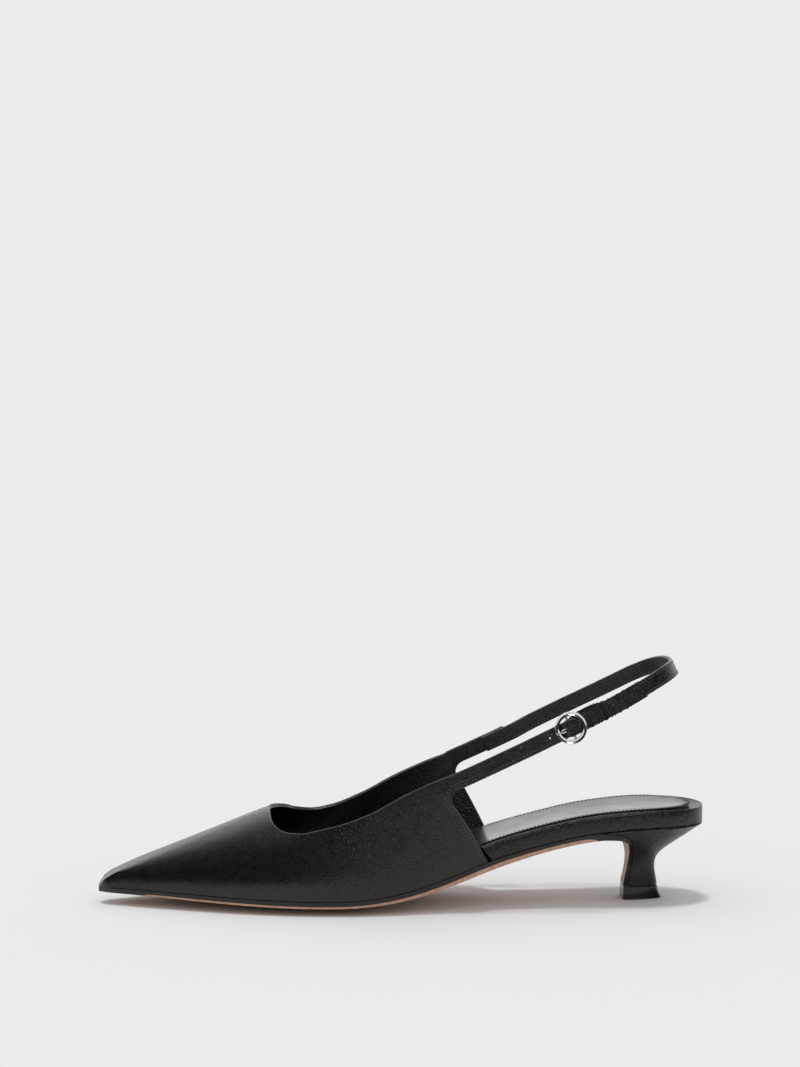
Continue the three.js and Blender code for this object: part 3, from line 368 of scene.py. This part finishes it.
def refine(piece, edge, levels, sharp=45):
    # rounds the hard edges, then smooths what lies between them
    addModifier(piece, "BEVEL", {"width": edge * mm, "segments": 2, "limit_method": "ANGLE",
                                 "angle_limit": math.radians(sharp), "profile": 0.6})
    addModifier(piece, "SUBSURF", {"levels": levels, "render_levels": levels})


def finishPiece(piece, material, slotName, *nodes):
    only(piece)
    bpy.ops.object.shade_smooth()
    piece.data.materials.clear()
    piece.data.materials.append(material)
    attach(piece, "root")
    if nodes:
        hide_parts(*nodes)
    print("piece", piece.name, len(piece.data.polygons), "faces")


# Seams: the rim of one smooth side of a piece gives the path of its stitches and its folded edge

def rimsOf(piece, seed, sharp=65):
    # rims of the smooth side nearest to a place: points with the direction into that side
    form = bmesh.new()
    form.from_mesh(piece.data)
    first = min(form.faces, key=lambda face: (face.calc_center_median() - seed).length)
    side = {first}
    waiting = [first]
    while waiting:
        for edge in waiting.pop().edges:
            if len(edge.link_faces) == 2 and edge.calc_face_angle() < math.radians(sharp):
                fresh = [face for face in edge.link_faces if face not in side]
                side.update(fresh)
                waiting.extend(fresh)
    steps = {}
    for face in sorted(side, key=lambda face: face.index):
        for corner in face.loops:
            if any(other not in side for other in corner.edge.link_faces):
                run = corner.link_loop_next.vert.co - corner.vert.co
                inward = face.normal.cross(run).normalized()
                steps[corner.vert] = (corner.link_loop_next.vert, inward)
    reached = {following for following, inward in steps.values()}
    rims = []
    for start in [vertex for vertex in steps if vertex not in reached] + list(steps):
        vertex, rim = start, []
        while vertex in steps:
            following, inward = steps.pop(vertex)
            rim.append((vertex.co.copy(), inward))
            vertex = following
        if rim:
            rims.append({"points": rim, "closed": vertex == start})
    form.free()
    return sorted(rims, key=lambda rim: -len(rim["points"]))


def runsAlong(rims, wanted):
    # unbroken stretches of the rims whose points are wanted
    runs = [[]]
    for rim in rims:
        steps = rim["points"]
        start = 0
        if rim["closed"]:
            start = next((i for i, step in enumerate(steps) if not wanted(*step)), 0)
        for step in steps[start:] + steps[:start]:
            if wanted(*step):
                runs[-1].append(step)
            elif runs[-1]:
                runs.append([])
        runs.append([])
    return [run for run in runs if len(run) > 2]


def surfaceOf(piece):
    return BVHTree.FromPolygons([vertex.co for vertex in piece.data.vertices],
                                [polygon.vertices for polygon in piece.data.polygons])


def lineOn(surface, run, inset, lift, closed=False):
    # the run moved into the piece's side, rounded between its points and laid on the refined surface
    count = len(run)
    targets = []
    for i, (place, inward) in enumerate(run):
        before = run[i - 1][1] if i or closed else inward
        targets.append(place + (inward + before).normalized() * inset * mm)

    def picked(i):
        return targets[i % count] if closed else targets[min(max(i, 0), count - 1)]

    line = []
    for i in range(count if closed else count - 1):
        a, b, c, d = picked(i - 1), picked(i), picked(i + 1), picked(i + 2)
        for t in (0, 0.25, 0.5, 0.75):
            place = 0.5 * (2 * b + (c - a) * t + (2 * a - 5 * b + 4 * c - d) * t ** 2
                           + (3 * b - a - 3 * c + d) * t ** 3)
            near, normal, face, gap = surface.find_nearest(place)
            line.append(near + normal * lift * mm)
    return line


def newCurve(name, line, radius=0.0):
    data = bpy.data.curves.new(name, "CURVE")
    data.dimensions = "3D"
    spline = data.splines.new("POLY")
    spline.points.add(len(line) - 1)
    for point, place in zip(spline.points, line):
        point.co = (*place, 1.0)
    data.bevel_depth = radius * mm
    data.bevel_resolution = 1
    curve = bpy.data.objects.new(name, data)
    bpy.context.scene.collection.objects.link(curve)
    return curve


def sewLine(name, line, stitch):
    path = newCurve("path", line)
    bpy.ops.mesh.primitive_uv_sphere_add(segments=6, ring_count=5, radius=0.5 * mm)
    bead = bpy.context.object
    bead.name = name
    bead.scale = (stitch["length"], stitch["thick"], stitch["thick"])
    bpy.ops.object.transform_apply(location=False, rotation=False, scale=True)
    addModifier(bead, "ARRAY", {"fit_type": "FIT_CURVE", "curve": path,
                                "use_relative_offset": False, "use_constant_offset": True,
                                "constant_offset_displace": (stitch["pitch"] * mm, 0, 0)})
    addModifier(bead, "CURVE", {"object": path, "deform_axis": "POS_X"})
    bpy.data.objects.remove(path)
    return bead


def foldedEdge(name, line, radius):
    roll = newCurve(name, line, radius)
    only(roll)
    bpy.ops.object.convert(target="MESH")
    return bpy.context.object


def joinAs(name, pieces):
    bpy.ops.object.select_all(action="DESELECT")
    for piece in pieces:
        piece.select_set(True)
    bpy.context.view_layer.objects.active = pieces[0]
    if len(pieces) > 1:
        bpy.ops.object.join()
    pieces[0].name = name
    return pieces[0]


def makeUpper():
    seam = {"inset": 1.3, "secondInset": 2.5, "from": 140, "cornerTo": 172, "to": 203,
            "strapAbove": 48, "cornerAbove": 45, "edgeInset": 0.15, "edgeRadius": 0.32}
    stitch = {"length": 1.25, "thick": 0.42, "pitch": 1.65}
    upper = copyNode("upper", "upperLeather")
    rims = rimsOf(upper, Vector((station(110), -0.045, 0.025)))
    refine(upper, 0.4, 2)
    surface = surfaceOf(upper)

    def sewn(place, inward):
        distance = (place.x - toeTip) / mm
        onStrap = place.z > seam["strapAbove"] * mm and inward.z > 0.5
        return seam["from"] < distance < seam["to"] and (inward.x < -0.35 or onStrap)

    def corner(place, inward):
        distance = (place.x - toeTip) / mm
        high = place.z > seam["cornerAbove"] * mm
        return sewn(place, inward) and high and distance < seam["cornerTo"]

    def finished(place, inward):
        return inward.z < -0.3 or sewn(place, inward)

    rows = [lineOn(surface, run, seam["inset"], 0.03) for run in runsAlong(rims, sewn)]
    rows += [lineOn(surface, run, seam["secondInset"], 0.03) for run in runsAlong(rims, corner)]
    threads = joinAs("quarterStitches", [sewLine("row", row, stitch) for row in rows])
    folds = [lineOn(surface, run, seam["edgeInset"], -0.12) for run in runsAlong(rims, finished)]
    edges = joinAs("foldedEdges", [foldedEdge("fold", fold, seam["edgeRadius"]) for fold in folds])
    finishPiece(upper, calfLeather, "upper_leather", "upper")
    finishPiece(edges, edgeLeatherPaintedHighlight, "upper_leather")
    finishPiece(threads, thread, "upper_leather")


# share of ink at the lower corner of the sole's edge, by distance from the toe tip in millimetres
edgeInk = [(0, 0.7), (14, 0.6), (24, 0.25), (110, 0.22), (150, 0.0),
           (175, -0.25), (213, -0.2), (219, 0.2), (223, 1.0)]


def rowValue(rows, distance):
    if distance <= rows[0][0]:
        return rows[0][1]
    for (start, low), (end, high) in zip(rows, rows[1:]):
        if distance <= end:
            return low + (high - low) * (distance - start) / (end - start)
    return rows[-1][1]


def rimVertices(piece, sharp):
    form = bmesh.new()
    form.from_mesh(piece.data)
    found = {v.index for edge in form.edges for v in edge.verts
             if len(edge.link_faces) == 2 and edge.calc_face_angle() > math.radians(sharp)}
    form.free()
    return found


def makeOutsole():
    outsole = copyNode("outsole", "outsoleLeather")
    mesh = outsole.data
    rim = rimVertices(outsole, 35)
    ink = mesh.attributes.new("ink", "FLOAT", "POINT")
    for vertex in mesh.vertices:
        above = vertex.normal.z > 0.3
        below = rowValue(edgeInk, (vertex.co.x - toeTip) / mm) if vertex.index in rim else 0.0
        ink.data[vertex.index].value = 1.0 if above else below
    refine(outsole, 0.25, 1)
    finishPiece(outsole, soleLeather, "sole_leather", "outsole")


def makeHeel():
    heel = copyNode("heel", "coveredHeel")
    refine(heel, 0.3, 2)
    finishPiece(heel, calfLeather, "upper_leather", "heel")


def makeTopPiece():
    topPiece = copyNode("heel_top_piece", "heelTopPiece")
    refine(topPiece, 0.3, 2)
    finishPiece(topPiece, topPieceRubber, "top_piece_rubber", "heel_top_piece")


def makeFootbed():
    footbed = copyNode("footbed", "wrappedFootbed")
    refine(footbed, 0.3, 2)
    finishPiece(footbed, calfLeather, "upper_leather", "footbed")


def makeSock():
    stitch = {"length": 1.3, "thick": 0.4, "pitch": 1.8, "inset": 1.5}
    sock = copyNode("sock", "sockPad")
    rim = rimsOf(sock, Vector((station(210), 0.0, 0.06)))[0]["points"]
    refine(sock, 0.35, 2)
    row = lineOn(surfaceOf(sock), rim, stitch["inset"], 0.02, True)
    threads = joinAs("sockStitches", [sewLine("row", row, stitch)])
    finishPiece(sock, liningLeather, "sock_leather", "sock")
    finishPiece(threads, thread, "sock_leather")


def makeHeelStrap():
    stitch = {"length": 1.25, "thick": 0.4, "pitch": 1.65, "inset": 1.1}
    fold = {"inset": 0.12, "radius": 0.28}
    strap = copyNode("heel_strap", "heelStrap")
    outside = rimsOf(strap, Vector((station(215), 0.034, 0.085)))
    inside = rimsOf(strap, Vector((station(215), 0.027, 0.085)))
    refine(strap, 0.35, 2)
    surface = surfaceOf(strap)

    def lengthwise(place, inward):
        return abs(inward.z) > 0.6

    rims = runsAlong(outside, lengthwise) + runsAlong(inside, lengthwise)
    rows = [lineOn(surface, run, stitch["inset"], 0.02) for run in rims]
    threads = joinAs("heelStrapStitches", [sewLine("row", row, stitch) for row in rows])
    folds = [lineOn(surface, run, fold["inset"], -0.1) for run in rims]
    edges = joinAs("heelStrapEdges", [foldedEdge("fold", line, fold["radius"]) for line in folds])
    finishPiece(strap, calfLeather, "upper_leather", "heel_strap")
    finishPiece(edges, edgeLeatherPaintedHighlight, "upper_leather")
    finishPiece(threads, thread, "upper_leather")


def makeTab():
    # elastic covered in leather, gathered into cross ruches that vary in pitch and depth
    ruche = {"pitch": 1.9, "depth": 0.3, "wander": 0.8, "from": 212, "to": 236, "fade": 3}
    tab = copyNode("strap_tab", "gatheredTab")
    refine(tab, 0.25, 4)
    outward = [vertex.normal.copy() for vertex in tab.data.vertices]   # read first, a move resets them
    for vertex, normal in zip(tab.data.vertices, outward):
        place = vertex.co / mm
        distance = place.x - toeTip / mm
        begun = min(max((distance - ruche["from"]) / ruche["fade"], 0), 1)
        free = begun * min(max((ruche["to"] - distance) / ruche["fade"], 0), 1)
        bend = ruche["wander"] * math.sin(place.z * 0.9 + distance * 0.35)
        phase = (distance + 0.25 * place.z + bend) / ruche["pitch"]
        strength = 0.65 + 0.35 * math.sin(distance * 1.7 + place.z * 0.6)
        vertex.co += normal * free * strength * ruche["depth"] * mm * math.sin(2 * math.pi * phase)
    finishPiece(tab, calfLeather, "upper_leather", "strap_tab")


def makeBuckle():
    ring = copyNode("buckle_ring", "buckleRing")
    refine(ring, 0.12, 2)
    finishPiece(ring, silverPlate, "buckle_metal", "buckle_ring")
    prong = copyNode("buckle_prong", "bucklePin")
    refine(prong, 0.1, 2, 60)
    finishPiece(prong, silverPlate, "buckle_metal", "buckle_prong")


print("pieces")
makeUpper()
makeOutsole()
makeHeel()
makeTopPiece()
makeFootbed()
makeSock()
makeHeelStrap()
makeTab()
makeBuckle()
